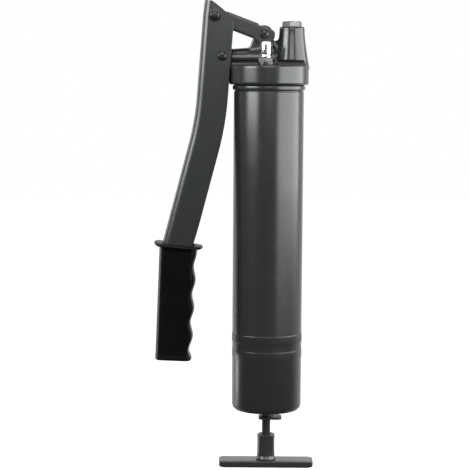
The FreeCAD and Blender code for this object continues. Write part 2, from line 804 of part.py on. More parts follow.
def make_handle():
    bore = "rod_radius + thread_slack"
    corners = [(bore, "hub_foot"), ("hub_skirt", "hub_foot"),
               ("hub_skirt", "hub_foot + hub_bevel"),
               ("hub_radius", "hub_foot + 3 * hub_bevel"),
               ("hub_radius", "hub_top - hub_bevel"), ("hub_radius - hub_bevel", "hub_top"),
               ("hub_dish", "hub_top"), ("hub_dish - hub_bevel", "hub_top - hub_dish_depth"),
               (bore, "hub_top - hub_dish_depth")]
    sub_part("handle_hub", turned("HandleHub", corners))
    half, top = "bar_length / 2", "hub_foot - seat_gap"
    bow = "(bar_thick - bar_tip_thick)"
    radius = "(bar_length^2 / 4 + %s^2) / (2 * %s)" % (bow, bow)
    corners = [("-" + half, top), ("-" + half, top + " - bar_tip_thick", radius, 1),
               (half, top + " - bar_tip_thick"), (half, top)]
    bar = padded("HandleBar", corners, "bar_width")
    doc.recompute()
    upright = ["Edge%d" % (index + 1) for index, edge in enumerate(bar.Shape.Edges)
               if abs(edge.Vertexes[0].X - edge.Vertexes[-1].X) < 0.01
               and abs(edge.Vertexes[0].Y - edge.Vertexes[-1].Y) < 0.01]
    pad = bar.Tip
    corner = bar.newObject("PartDesign::Fillet", "HandleCorners")
    corner.Base = (pad, upright)
    bind(corner, "Radius", "bar_corner")
    bore = cylinder("BarBore", "rod_radius + thread_slack", "bar_thick",
                    ("0", "0", "hub_foot - bar_thick + bar_cover - seat_gap"))
    sub_part("t_handle", cut("THandle", bar, [bore]))


# Latch: a small plate that grips the rod, tilted by its tab

def make_latch():
    low = "latch_top - latch_thick"
    bend = "latch_right - latch_lip"
    corners = [("-latch_left", low), (bend, low), ("latch_right - latch_thick / 2",
                                                   low + " - latch_lip"),
               ("latch_right", low + " - latch_lip"), (bend + " + latch_thick / 2", "latch_top"),
               ("-latch_left", "latch_top")]
    plate = padded("LatchPlate", corners, "2 * latch_half")
    hole = cylinder("LatchHole", "latch_hole", "3 * latch_thick",
                    ("0", "0", "latch_top - 2 * latch_thick"))
    sub_part("latch_plate", cut("Latch", plate, [hole]))


# Springs: each one unbroken wire on biarcs of a quarter turn

def biarc(start, ahead, end, onward):
    """Two arcs from a start to an end with the given directions there."""
    chord, both = end - start, ahead + onward
    spread = 2 * (1 - ahead.dot(onward))
    along = chord.dot(both)
    reach = (math.sqrt(along ** 2 + spread * chord.dot(chord)) - along) / spread
    joint = (start + end + (ahead - onward) * reach) * 0.5
    unit = (joint - start).normalize()
    passing = unit * (2 * ahead.dot(unit)) - ahead
    return [bent(start, ahead, joint), bent(joint, passing, end)]


def bent(start, ahead, end):
    """An arc from start to end that leaves its start in the given direction."""
    chord = end - start
    unit = Vector(chord).normalize()
    side = ahead - unit * ahead.dot(unit)
    angle = math.atan2(side.Length, ahead.dot(unit))
    middle = (start + end) * 0.5 + side.normalize() * (chord.Length / 2 * math.tan(angle / 2))
    return Part.Arc(start, middle, end)


def coil(radius, pitch, turns):
    """Points and directions down a helix at quarter turns."""
    steps = round(turns * 4)
    spots = []
    for step in range(steps + 1):
        angle = step * math.pi / 2
        spot = Vector(radius * math.cos(angle), radius * math.sin(angle), pitch * step / 4)
        ahead = Vector(-radius * math.sin(angle), radius * math.cos(angle), pitch / 2 / math.pi)
        spots.append((spot, ahead.normalize()))
    return spots


def least_gap(radius, pitch, turns, wire):
    """The least gap between points on neighbouring turns of the wire."""
    samples = 72
    points = []
    for step in range(int(turns * samples) + 1):
        angle = 2 * math.pi * step / samples
        points.append(Vector(radius * math.cos(angle), radius * math.sin(angle),
                             pitch * step / samples))
    gaps = []
    for index, spot in enumerate(points):
        later = points[index + samples // 2:index + 2 * samples]
        gaps += [(other - spot).Length for other in later]
    return min(gaps) - wire


def make_spring(name, label, radius, wire, turns, foot, top, spot):
    """A wire wound up from foot to top, which are the lowest and highest points of its metal."""
    radius, wire, turns = number(radius), number(wire), number(turns)
    height = number("(%s) - (%s)" % (top, foot)) - wire
    pitch = height / turns
    spots = coil(radius, pitch, turns)
    arcs = []
    for (start, ahead), (end, onward) in zip(spots, spots[1:]):
        arcs += biarc(start, ahead, end, onward)
    route = Part.Wire([arc.toShape() for arc in arcs])
    section = Part.Wire([Part.Circle(spots[0][0], spots[0][1], wire / 2).toShape()])
    shell = Part.BRepOffsetAPI.MakePipeShell(route)
    shell.add(section)
    shell.build()
    shell.makeSolid()
    spring = doc.addObject("Part::Feature", name)
    spring.Shape = shell.shape()
    spring.Placement = FreeCAD.Placement(
        Vector(number(spot[0]), number(spot[1]), number(foot) + wire / 2), FreeCAD.Rotation())
    print("%s least gap to itself %.2f mm" % (label, least_gap(radius, pitch, turns, wire)))
    sub_part(label, spring)


def make_springs():
    make_spring("FollowerSpring", "follower_spring", "spring_radius", "spring_wire",
                "spring_turns", "barrel_end + barrel_wall + spring_seat",
                "washer_foot - spring_seat", ("0", "0"))
    make_spring("CheckSpring", "check_spring", "check_coil", "check_wire", "check_turns",
                "ball_height + ball_radius * 0.9",
                "tower_top - stub_length - outlet_seat_gap", ("tower_place", "0"))
    make_spring("NippleSpring", "nipple_spring", "nipple_coil", "nipple_wire", "nipple_turns",
                "nipple_bottom + seat_gap", "nipple_ball - nipple_ball_radius * 0.9",
                ("-nipple_x", "-nipple_y"))
    make_spring("LatchSpring", "latch_spring", "latch_coil", "latch_wire", "latch_turns",
                "latch_top + seat_gap", "crown_foot - bush_nose - seat_gap", ("0", "0"))


def check_and_write():
    """Refuse a failed object, then write each sub-part to its STEP file."""
    doc.recompute()
    for thing in doc.Objects:
        if "Invalid" in thing.State or "Error" in thing.State:
            raise RuntimeError("failed: %s %s" % (thing.Name, thing.State))
    for part in PARTS:
        if part.Shape.isNull() or not part.Shape.isValid():
            raise RuntimeError("bad shape: " + part.Label)
        if len(part.Shape.Solids) != 1:
            raise RuntimeError("%s has %d solids" % (part.Label, len(part.Shape.Solids)))
    os.makedirs("parts", exist_ok=True)
    for part in PARTS:
        part.Shape.exportStep("parts/%s.step" % part.Label)
    print("%d sub-parts written" % len(PARTS))


make_barrel()
make_rod_bush()
make_head()
make_head_rings()
make_outlet()
make_ball("CheckBall", "check_ball", "ball_radius", ("tower_place", "0", "ball_height"))
make_nipple()
make_ball("NippleBall", "nipple_ball", "nipple_ball_radius",
          ("-nipple_x", "-nipple_y", "nipple_ball"))
make_link()
make_lever()
make_grip()
make_pins()
make_plunger()
make_follower()
make_rod()
make_handle()
make_latch()
make_springs()
check_and_write()
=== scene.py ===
"""Looks of a hand-operated lever grease gun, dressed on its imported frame.

Shapes are worked out in millimetres, as grids of points or as distance fields, and each piece
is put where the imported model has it. Z runs up the barrel, -X is the lever's side and -Y the
side of the filler nipple, which the camera sees.
"""
import math

import bmesh
import bpy
import numpy as np
from mathutils import Matrix


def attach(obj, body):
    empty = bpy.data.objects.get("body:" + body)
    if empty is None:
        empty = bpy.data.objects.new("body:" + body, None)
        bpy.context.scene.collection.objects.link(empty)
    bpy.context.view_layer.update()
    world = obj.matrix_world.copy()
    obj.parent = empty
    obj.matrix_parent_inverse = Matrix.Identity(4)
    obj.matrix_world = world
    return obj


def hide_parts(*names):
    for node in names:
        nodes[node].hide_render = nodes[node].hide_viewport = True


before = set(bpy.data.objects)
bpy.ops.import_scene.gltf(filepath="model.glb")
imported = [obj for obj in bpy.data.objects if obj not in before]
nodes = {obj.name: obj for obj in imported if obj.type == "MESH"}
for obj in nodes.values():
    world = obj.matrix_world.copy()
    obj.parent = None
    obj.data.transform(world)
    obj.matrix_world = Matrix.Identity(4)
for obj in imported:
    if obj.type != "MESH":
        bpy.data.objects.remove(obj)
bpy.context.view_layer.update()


# Camera: a long lens about 1.4 m away, a little above the middle of the gun and looking slightly
# down, rolled by less than half a degree, as the photograph was taken.

lens = bpy.data.cameras.new("camera")
lens.lens = 134.04
lens.sensor_width = 36.0
lens.clip_end = 20.0
camera = bpy.data.objects.new("camera", lens)
camera.matrix_world = (Matrix.Translation((-0.0263, -1.404, 0.1381))
                       @ Matrix.Rotation(math.radians(84.8), 4, "X")
                       @ Matrix.Rotation(math.radians(0.4), 4, "Z"))
bpy.context.scene.collection.objects.link(camera)
bpy.context.scene.camera = camera
bpy.context.scene.view_settings.view_transform = "Standard"


# Studio: a plain white floor, low enough to show the handle when the rod is drawn out, and a
# white room that reflections see darker in front. Five soft lamps: a tall one at the right, a
# narrow one and one behind at the left, one above and one high in front.

FLOOR, FLOOR_HALF = -0.3700, 6.0
ROOM_LIGHT, ROOM_IN_FRONT, ROOM_DEPTH, FLOOR_DEPTH = 0.36, 0.18, 0.25, 0.45


def wired(tree, *links):
    """Joins output sockets to input sockets of a node tree, given as pairs."""
    for out, into in links:
        tree.links.new(out, into)


def ranged(tree, start, end, first, last):
    """A node that maps the values from start to end evenly onto those from first to last."""
    node = tree.nodes.new("ShaderNodeMapRange")
    for socket, value in zip(("From Min", "From Max", "To Min", "To Max"),
                             (start, end, first, last)):
        node.inputs[socket].default_value = value
    return node


def seen_or_mirrored(tree):
    """A factor of 1 for rays from the camera, from glossy and from clear surfaces, else 0."""
    path = tree.nodes.new("ShaderNodeLightPath")
    first, both = tree.nodes.new("ShaderNodeMath"), tree.nodes.new("ShaderNodeMath")
    first.operation = both.operation = "MAXIMUM"
    wired(tree, (path.outputs["Is Camera Ray"], first.inputs[0]),
          (path.outputs["Is Glossy Ray"], first.inputs[1]), (first.outputs[0], both.inputs[0]),
          (path.outputs["Is Transmission Ray"], both.inputs[1]))
    return both.outputs[0]


world = bpy.data.worlds.new("white_room")
world.use_nodes = True
room = world.node_tree
room.nodes.clear()
plain, white = room.nodes.new("ShaderNodeBackground"), room.nodes.new("ShaderNodeBackground")
plain.inputs["Color"].default_value = (1, 1, 1, 1)
plain.inputs["Strength"].default_value = ROOM_LIGHT
white.inputs["Color"].default_value = (1, 1, 1, 1)
way, parts = room.nodes.new("ShaderNodeTexCoord"), room.nodes.new("ShaderNodeSeparateXYZ")
darkened = ranged(room, 0.0, ROOM_DEPTH, ROOM_IN_FRONT, 1.0)
path, shown = room.nodes.new("ShaderNodeLightPath"), room.nodes.new("ShaderNodeMath")
shown.operation = "MAXIMUM"
either, sky = room.nodes.new("ShaderNodeMixShader"), room.nodes.new("ShaderNodeOutputWorld")
wired(room, (way.outputs["Generated"], parts.inputs[0]),
      (parts.outputs["Y"], darkened.inputs["Value"]), (darkened.outputs[0], shown.inputs[0]),
      (path.outputs["Is Camera Ray"], shown.inputs[1]),
      (shown.outputs[0], white.inputs["Strength"]), (seen_or_mirrored(room), either.inputs[0]),
      (plain.outputs[0], either.inputs[1]), (white.outputs[0], either.inputs[2]),
      (either.outputs[0], sky.inputs["Surface"]))
bpy.context.scene.world = world

paper = bpy.data.materials.new("white_paper")
paper.use_nodes = True
tree = paper.node_tree
tree.nodes.clear()
matt, glow = tree.nodes.new("ShaderNodeBsdfDiffuse"), tree.nodes.new("ShaderNodeEmission")
dull, far = tree.nodes.new("ShaderNodeBsdfDiffuse"), tree.nodes.new("ShaderNodeEmission")
matt.inputs["Color"].default_value = (0.85, 0.85, 0.85, 1)
glow.inputs["Strength"].default_value = 0.72
dull.inputs["Color"].default_value = (0.25, 0.25, 0.25, 1)
where, parts = tree.nodes.new("ShaderNodeTexCoord"), tree.nodes.new("ShaderNodeSeparateXYZ")
fading = ranged(tree, 0.0, FLOOR_DEPTH, ROOM_IN_FRONT, 1.0)
path = tree.nodes.new("ShaderNodeLightPath")
lit, seen = tree.nodes.new("ShaderNodeAddShader"), tree.nodes.new("ShaderNodeMixShader")
either, last = tree.nodes.new("ShaderNodeMixShader"), tree.nodes.new("ShaderNodeOutputMaterial")
wired(tree, (where.outputs["Object"], parts.inputs[0]),
      (parts.outputs["Y"], fading.inputs["Value"]),
      (fading.outputs[0], far.inputs["Strength"]), (matt.outputs[0], lit.inputs[0]),
      (glow.outputs[0], lit.inputs[1]), (path.outputs["Is Camera Ray"], seen.inputs[0]),
      (far.outputs[0], seen.inputs[1]), (lit.outputs[0], seen.inputs[2]),
      (seen_or_mirrored(tree), either.inputs[0]), (dull.outputs[0], either.inputs[1]),
      (seen.outputs[0], either.inputs[2]), (either.outputs[0], last.inputs["Surface"]))
ground = bpy.data.meshes.new("floor")
ground.from_pydata([(across * FLOOR_HALF, along * FLOOR_HALF, FLOOR)
                    for across, along in ((-1, -1), (1, -1), (1, 1), (-1, 1))], [],
                   [(0, 1, 2, 3)])
ground.materials.append(paper)
floor = bpy.data.objects.new("floor", ground)
bpy.context.scene.collection.objects.link(floor)


def softbox(name, spot, aim, width, height, power):
    """A soft lamp at a spot, turned towards a point, with its width and height in metres."""
    lamp = bpy.data.lights.new(name, "AREA")
    lamp.shape = "RECTANGLE"
    lamp.size, lamp.size_y, lamp.energy = width, height, power
    thing = bpy.data.objects.new(name, lamp)
    ahead = np.subtract(aim, spot)
    back = -ahead / np.linalg.norm(ahead)
    side = np.cross((0, 0, 1), back)
    side /= np.linalg.norm(side)
    turn = Matrix(np.array([side, np.cross(back, side), back]).T.tolist()).to_4x4()
    thing.matrix_world = Matrix.Translation(spot) @ turn
    bpy.context.scene.collection.objects.link(thing)


softbox("tall_right", (0.60, -0.21, 0.2125), (0, 0, 0.2125), 1.14, 0.475, 14.4)
softbox("narrow_left", (-0.59, -0.40, 0.335), (0, 0, 0.30), 0.47, 0.34, 9.0)
softbox("back_left", (-0.72, 0.37, 0.05), (0, 0, 0.05), 0.14, 1.0, 3.0)
softbox("above", (0.0, -0.3, 1.1), (0, 0, 0.1), 0.7, 0.5, 3.4)
softbox("front_high", (0.0, -0.90, 0.52), (0, 0, 0.15), 0.5, 0.46, 4.9)


# Barrel: a drawn steel tube of 56 mm with a domed end, a groove and rolled bead under the head,
# and two rolled bands near the foot, both finely notched all round and the upper one deeper.

def rounded(corners, steps=4):
    """Points round a closed outline of corners, given as place, place and radius.

    Each corner is a circle's arc between its two tangent points, as a rational curve of the
    second degree whose middle weight is the sine of half the corner's angle."""
    corners = np.array(corners, float)
    spots, radii = corners[:, :2], corners[:, 2:3]
    before, after = np.roll(spots, 1, 0) - spots, np.roll(spots, -1, 0) - spots
    reach = np.minimum(np.linalg.norm(before, axis=1), np.linalg.norm(after, axis=1))[:, None]
    before /= np.linalg.norm(before, axis=1)[:, None]
    after /= np.linalg.norm(after, axis=1)[:, None]
    half = np.arccos(np.clip((before * after).sum(1), -1, 1))[:, None] / 2
    length = np.minimum(radii / np.tan(half), reach * 0.498)
    t = np.linspace(0, 1, steps)[None, :, None]
    start, end = (spots + before * length)[:, None], (spots + after * length)[:, None]
    middle, weight = spots[:, None], np.sin(half)[:, None]
    parts = (1 - t) ** 2, 2 * t * (1 - t) * weight, t ** 2
    return ((start * parts[0] + middle * parts[1] + end * parts[2]) / sum(parts)).reshape(-1, 2)


def shell(name, spots, faces, finish, crease=38.0, tidied=True):
    """A mesh object from points in millimetres and faces of four corners.

    Points that fall together are merged and faces turned outwards. Edges above the crease
    angle stay sharp."""
    mesh = bpy.data.meshes.new(name)
    mesh.from_pydata((spots * 0.001).tolist(), [], faces.tolist())
    if tidied:
        tidy = bmesh.new()
        tidy.from_mesh(mesh)
        bmesh.ops.remove_doubles(tidy, verts=tidy.verts, dist=2e-6)
        bmesh.ops.recalc_face_normals(tidy, faces=tidy.faces)
        tidy.to_mesh(mesh)
        tidy.free()
    mesh.shade_smooth()
    mesh.set_sharp_from_angle(angle=math.radians(crease))
    mesh.materials.append(finish)
    thing = bpy.data.objects.new(name, mesh)
    bpy.context.scene.collection.objects.link(thing)
    return thing


def knit(rows, columns, joined):
    """Corner numbers of a grid's faces: its columns run round, and its rows too if joined."""
    index = np.arange(rows * columns).reshape(rows, columns)
    beside = np.roll(index, -1, axis=1)
    quads = np.stack([index, beside, np.roll(beside, -1, 0), np.roll(index, -1, 0)], -1)
    return (quads if joined else quads[:-1]).reshape(-1, 4)


def surface(name, grid, finish, joined=False, crease=38.0):
    """A closed surface from a grid of points: rows of points that each run once round."""
    return shell(name, grid.reshape(-1, 3), knit(*grid.shape[:2], joined), finish, crease)


def turned(profile, steps, x=0.0, y=0.0):
    """Rows of points that turn a profile of radius and height about an upright axis."""
    angle = np.linspace(0, 2 * np.pi, steps, endpoint=False)
    radius, height = profile[:, :1], profile[:, 1:2]
    return np.stack(np.broadcast_arrays(x + radius * np.cos(angle), y + radius * np.sin(angle),
                                        height), -1)


COARSER = 30


def grained(name, low, high, grain, metallic, roughness, relief, spread=0.05,
            stretch=(1, 1, 1), gloss=0.5):
    """A finish whose colour runs from low to high with a grain in millimetres.

    One fine noise mixes the colours and lifts the surface by the relief in micrometres, and a
    much coarser one varies the roughness by the spread."""
    material = bpy.data.materials.new(name)
    material.use_nodes = True
    tree = material.node_tree
    nodes_of = tree.nodes
    shader = nodes_of["Principled BSDF"]
    where, scaled = nodes_of.new("ShaderNodeTexCoord"), nodes_of.new("ShaderNodeMapping")
    scaled.inputs["Scale"].default_value = stretch
    fine, coarse = nodes_of.new("ShaderNodeTexNoise"), nodes_of.new("ShaderNodeTexNoise")
    fine.inputs["Scale"].default_value = 1000 / grain
    fine.inputs["Detail"].default_value = 3.0
    coarse.inputs["Scale"].default_value = 1000 / grain / COARSER
    coarse.inputs["Detail"].default_value = 2.0
    colour, rough = nodes_of.new("ShaderNodeMix"), ranged(tree, 0.3, 0.7, roughness - spread,
                                                          roughness + spread)
    colour.data_type = "RGBA"
    colour.label = "colour"
    colour.inputs[6].default_value = (*low, 1)
    colour.inputs[7].default_value = (*high, 1)
    bump = nodes_of.new("ShaderNodeBump")
    bump.inputs["Distance"].default_value = relief * 1e-6
    bump.inputs["Strength"].default_value = 1.0
    shader.inputs["Metallic"].default_value = metallic
    shader.inputs["Specular IOR Level"].default_value = gloss
    wired(tree, (where.outputs["Object"], scaled.inputs["Vector"]),
          (scaled.outputs[0], fine.inputs["Vector"]),
          (where.outputs["Object"], coarse.inputs["Vector"]),
          (fine.outputs[0], colour.inputs[0]), (colour.outputs[2], shader.inputs["Base Color"]),
          (coarse.outputs[0], rough.inputs["Value"]),
          (rough.outputs[0], shader.inputs["Roughness"]),
          (fine.outputs[0], bump.inputs["Height"]), (bump.outputs[0], shader.inputs["Normal"]))
    return material


BARREL_RADIUS, BARREL_INSIDE, NOTCHES = 28.0, 26.8, 135
NOTCHED_BANDS = (-81.5, -75.4, 0.045), (-75.3, -68.7, 0.10)
barrel_line = rounded([
    (6.0, -133.2, 0.2), (17.6, -131.75, 12.0), (BARREL_RADIUS, -131.6, 10.2),
    (BARREL_RADIUS, -88.4, 0.3), (28.3, -88.0, 0.3), (28.3, -81.8, 0.3),
    (BARREL_RADIUS, -81.4, 0.3), (BARREL_RADIUS, -75.5, 0.3), (28.3, -75.1, 0.3),
    (28.3, -68.9, 0.3), (BARREL_RADIUS, -68.5, 0.3), (BARREL_RADIUS, 40.0, 0.0),
    (BARREL_RADIUS, 125.4, 0.4), (27.5, 125.9, 0.4), (27.5, 126.5, 0.3), (28.1, 126.9, 0.3),
    (29.0, 127.2, 0.9), (29.0, 130.2, 0.9), (BARREL_RADIUS, 130.8, 0.3),
    (BARREL_RADIUS, 141.6, 0.3), (BARREL_INSIDE, 141.6, 0.3), (BARREL_INSIDE, -130.4, 8.9),
    (17.4, -130.6, 8.0), (6.0, -132.0, 0.2)])
tube = turned(barrel_line, 4 * NOTCHES)
turn_of = np.arctan2(tube[..., 1], tube[..., 0])
depth_of = sum(np.where((tube[..., 2] > foot) & (tube[..., 2] < top), deep, 0.0)
               for foot, top, deep in NOTCHED_BANDS)
outside = np.hypot(tube[..., 0], tube[..., 1]) > 27.5
depth_of = depth_of * outside * np.sign(np.cos(NOTCHES * turn_of + 0.8))
tube[..., :2] *= (1 - np.maximum(depth_of, 0) / BARREL_RADIUS)[..., None]
anthracite = grained("barrel_anthracite", (0.0090, 0.0100, 0.0105), (0.0230, 0.0250, 0.0262),
                     0.45, 0.40, 0.26, 2.0, spread=0.02)
barrel = surface("barrel_shell", tube, anthracite, joined=True, crease=30.0)
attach(barrel, "barrel")
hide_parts("barrel_tube")


# Head: one zinc casting, painted like the barrel: the collar that is screwed on the barrel, the
# pump cylinder on a narrow neck, the lug of the link and the outlet tower, with cast fillets.

def box_2d(across, along, half_across, half_along, corner=0.0):
    """Distance to a rectangle with rounded corners, from its middle."""
    beyond = np.abs(across) - half_across + corner, np.abs(along) - half_along + corner
    outside = np.hypot(np.maximum(beyond[0], 0), np.maximum(beyond[1], 0))
    return outside + np.minimum(np.maximum(*beyond), 0) - corner


def joined_by(first, second, fillet):
    """Two solids together, with a fillet: the lesser distance, lowered where they are alike."""
    alike = np.maximum(fillet - np.abs(first - second), 0) / fillet
    return np.minimum(first, second) - alike ** 2 * fillet / 4


def shared_by(first, second, edge):
    """What two solids share, with a rounded edge: the greater distance, raised where alike."""
    return -joined_by(-first, -second, edge)


def tapered(across, along, low, high, low_radius, high_radius):
    """Distance to a bar whose round ends have a radius each at a low and a high point."""
    over, up = high[0] - low[0], high[1] - low[1]
    share = np.clip(((across - low[0]) * over + (along - low[1]) * up) / (over ** 2 + up ** 2),
                    0, 1)
    middle = low[0] + share * over, low[1] + share * up
    radius = low_radius + share * (high_radius - low_radius)
    return np.hypot(across - middle[0], along - middle[1]) - radius


def raster(low, high, step):
    """Places along X, Y and Z of a block of points between two corners."""
    return np.meshgrid(*[np.arange(a, b + step, step, dtype=np.float32)
                         for a, b in zip(low, high)], indexing="ij")


def skin(low, step, distance):
    """Points and faces where a solid's distance is nought on a raster.

    Each cell that the surface crosses gets one point, the mean of the places where its edges
    are crossed, and each crossed edge gets one face between its four cells."""
    cells = tuple(size - 1 for size in distance.shape)
    total, count = np.zeros(cells + (3,), np.float32), np.zeros(cells, np.float32)
    crossings = []
    for axis in range(3):
        order = (axis, (axis + 1) % 3, (axis + 2) % 3)
        field = distance.transpose(order)
        near, far = field[:-1], field[1:]
        crossed = (near < 0) != (far < 0)
        share = np.where(crossed, near / np.where(crossed, near - far, 1), 0)
        places = list(np.indices(near.shape, dtype=np.float32))
        places[0] = places[0] + share
        sums, counts = total.transpose(order + (3,)), count.transpose(order)
        across, along = near.shape[1] - 1, near.shape[2] - 1
        for j in (0, 1):
            for k in (0, 1):
                part = (slice(None), slice(j, across + j), slice(k, along + k))
                counts += crossed[part]
                for place, spots in zip(order, places):
                    sums[..., place] += spots[part] * crossed[part]
        crossings.append((order, crossed[:, 1:-1, 1:-1], (near < 0)[:, 1:-1, 1:-1]))
    used = count > 0
    number = np.full(cells, -1)
    number[used] = np.arange(used.sum())
    faces = []
    for order, crossed, solid in crossings:
        numbered = number.transpose(order)
        quads = np.stack([numbered[:, :-1, :-1][crossed], numbered[:, 1:, :-1][crossed],
                          numbered[:, 1:, 1:][crossed], numbered[:, :-1, 1:][crossed]], -1)
        faces.append(np.where(solid[crossed][:, None], quads, quads[:, ::-1]))
    spots = np.array(low) + step * total[used] / count[used][:, None]
    return spots, np.concatenate(faces)


DECK, COLLAR_FOOT, COLLAR_TOP, COLLAR_RADIUS = 143.2, 131.1, 146.7, 31.8
PUMP_Z, PUMP_MOUTH, PUMP_ROOT, PUMP_SINK, PUMP_RADII = 153.5, -30.9, 4.5, 1.3, (7.2, 9.9)
TOWER_X, TOWER_RADIUS, TOWER_MIDDLE, TOWER_HALF, RIM_FOOT = 18.0, 10.1, 160.8, 16.8, 176.0
LUG, LUG_FOOT, LUG_HALF, PIN_HOLE = (-4.3, 171.1), (-7.4, 154.0), 6.4, 3.05
LUG_FOOT_RADIUS, LUG_RADIUS, NIPPLE = 10.3, 7.2, (-3.0, -18.0)
NECK_Z, NECK_HALF_HIGH, SLOT_HALF_HIGH, SLOT_OUTSIDE, SLOT_INSIDE = 148.5, 5.0, 1.7, 4.6, 8.4
BRIDGE_RADIUS, FLARE_TOP, FLARE_POWER, FLARE_RATE = 5.6, 173.6, 1.35, 0.0435
RECESS_RADIUS, PACKING_RADIUS, PACKING_END, BORE_RADIUS, BORE_END = 28.3, 4.75, -26.2, 3.55, 9.5
STUB_RADIUS, RIM_RADIUS, STUB_FOOT, VALVE_RADIUS, VALVE_FOOT = 6.6, 8.35, 169.0, 4.0, 157.5
NIPPLE_BORE, NIPPLE_BORE_TOP, PORT_X, PORT_RADIUS = 3.2, 149.0, -14.0, 2.0


def bored(away, radius, beyond):
    """Distance in a round bore: how far past its radius or its end, whichever is more."""
    return np.maximum(away - radius, beyond)


head_low, head_step = (-33.0, -33.0, 129.6), 0.6
x, y, z = raster(head_low, (33.0, 33.0, 180.0), head_step)
out, mid = np.hypot(x, y), (COLLAR_FOOT + COLLAR_TOP) / 2
collar = box_2d(out, z - mid, COLLAR_RADIUS, (COLLAR_TOP - COLLAR_FOOT) / 2, 1.5)
pump_radius = PUMP_RADII[0] + ((x - PUMP_MOUTH) * (PUMP_RADII[1] - PUMP_RADII[0])
                               / (PUMP_ROOT - PUMP_MOUTH))
around = np.hypot(y, z - PUMP_Z)
pump = shared_by(np.hypot(y, z - PUMP_Z + PUMP_SINK) - pump_radius,
                 np.abs(x - (PUMP_MOUTH + PUMP_ROOT) / 2) - (PUMP_ROOT - PUMP_MOUTH) / 2, 1.2)
bridge = np.maximum(around - BRIDGE_RADIUS, np.abs(x - 9.0) - 8.0)
neck = np.maximum(box_2d(x + 4.0, y, 24.5, 4.0, 1.0), np.abs(z - NECK_Z) - NECK_HALF_HIGH)
tower_radius = TOWER_RADIUS + np.clip(FLARE_TOP - z, 0, None) ** FLARE_POWER * FLARE_RATE
tower_out = np.hypot(x - TOWER_X, y)
tower = shared_by((tower_out - tower_radius) * 0.98, np.abs(z - TOWER_MIDDLE) - TOWER_HALF, 2.2)
lug = shared_by(tapered(x, z, LUG_FOOT, LUG, LUG_FOOT_RADIUS, LUG_RADIUS),
                np.abs(y) - LUG_HALF, 1.6)
web = np.maximum(np.maximum(np.abs(y) - 3.0, np.abs(x - 8.0) - 10.0), np.abs(z - 159.8) - 6.3)
casting = pump
for form, fillet in ((neck, 1.6), (lug, 1.8), (bridge, 2.4), (web, 2.0), (tower, 3.0),
                     (collar, 1.6)):
    casting = joined_by(casting, form, fillet)
slot_half = np.where(x < PUMP_ROOT, SLOT_OUTSIDE, SLOT_INSIDE)
slots = shared_by(slot_half - np.abs(y), np.abs(z - NECK_Z) - SLOT_HALF_HIGH, 0.5)
slots = np.maximum(slots, np.abs(x + 1.7) - 29.4)
casting = shared_by(casting, -slots, 0.6)
recess = bored(out, RECESS_RADIUS, z - DECK)
packing = bored(around, PACKING_RADIUS, x - PACKING_END)
pump_bore = bored(around, BORE_RADIUS, x - BORE_END)
stub = bored(tower_out, np.where(z > RIM_FOOT, RIM_RADIUS, STUB_RADIUS), STUB_FOOT - z)
valve = bored(tower_out, VALVE_RADIUS, VALVE_FOOT - z)
nipple_bore = bored(np.hypot(x - NIPPLE[0], y - NIPPLE[1]), NIPPLE_BORE, z - NIPPLE_BORE_TOP)
port = bored(np.hypot(x - PORT_X, y), PORT_RADIUS, z - PUMP_Z)
eye = np.hypot(x - LUG[0], z - LUG[1]) - PIN_HOLE
for hollow in (recess, packing, pump_bore, stub, valve, nipple_bore, port, eye):
    casting = np.maximum(casting, -hollow)
cast_paint = grained("head_anthracite", (0.0098, 0.0108, 0.0113), (0.0268, 0.0290, 0.0303), 0.5,
                     0.40, 0.24, 3.0, spread=0.02)
head = shell("head_cast", *skin(head_low, head_step, casting), cast_paint, crease=62.0,
             tidied=False)
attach(head, "head")
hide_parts("head_casting")


# Outlet adapter: a plain steel hexagon with a turned stub, screwed into the tower, and a plain
# bore as wide as the hose's thread. Its corners are chamfered and its face is turned.

def hexagonal(grid, flats, low, high, x=0.0, y=0.0, lean=0.0):
    """Cuts six flats on the rows of a turned grid between two heights.

    A point goes no further out than half the flats over the cosine of its angle to the nearest
    flat's middle."""
    angle = np.arctan2(grid[..., 1] - y, grid[..., 0] - x) + lean
    nearest = (angle + np.pi / 6) % (np.pi / 3) - np.pi / 6
    reach = np.hypot(grid[..., 0] - x, grid[..., 1] - y)
    share = np.minimum(1, flats / 2 / np.cos(nearest) / np.maximum(reach, 0.01))
    share = np.where((grid[..., 2] > low) & (grid[..., 2] < high), share, 1)
    grid[..., 0] = x + (grid[..., 0] - x) * share
    grid[..., 1] = y + (grid[..., 1] - y) * share
    return grid


adapter_line = rounded([
    (1.6, 169.1, 0.0), (6.5, 169.1, 0.4), (6.5, 176.1, 0.0), (7.2, 176.12, 0.3),
    (8.2, 176.7, 0.3), (8.2, 180.8, 0.3), (7.0, 181.5, 0.2), (5.2, 181.5, 0.3),
    (4.5, 180.9, 0.1), (4.5, 172.5, 0.3), (1.6, 172.2, 0.2)])
adapter_steel = grained("adapter_steel", (0.085, 0.085, 0.084), (0.13, 0.13, 0.128), 0.5, 0.9,
                        0.36, 5.0, stretch=(0.25, 0.25, 6))
adapter_grid = hexagonal(turned(adapter_line, 96, TOWER_X), 14.0, 176.11, 181.4, TOWER_X,
                         lean=0.26)
adapter = surface("adapter_hexagon", adapter_grid, adapter_steel, joined=True, crease=25.0)
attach(adapter, "head")
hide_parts("outlet_adapter")


# Filler nipple: screwed into the collar's top beside the pump, in two pieces: a zinc-plated
# hexagon on a round flange, and a bright chromed shank with a groove at its foot and a small
# mouth in its rounded top.

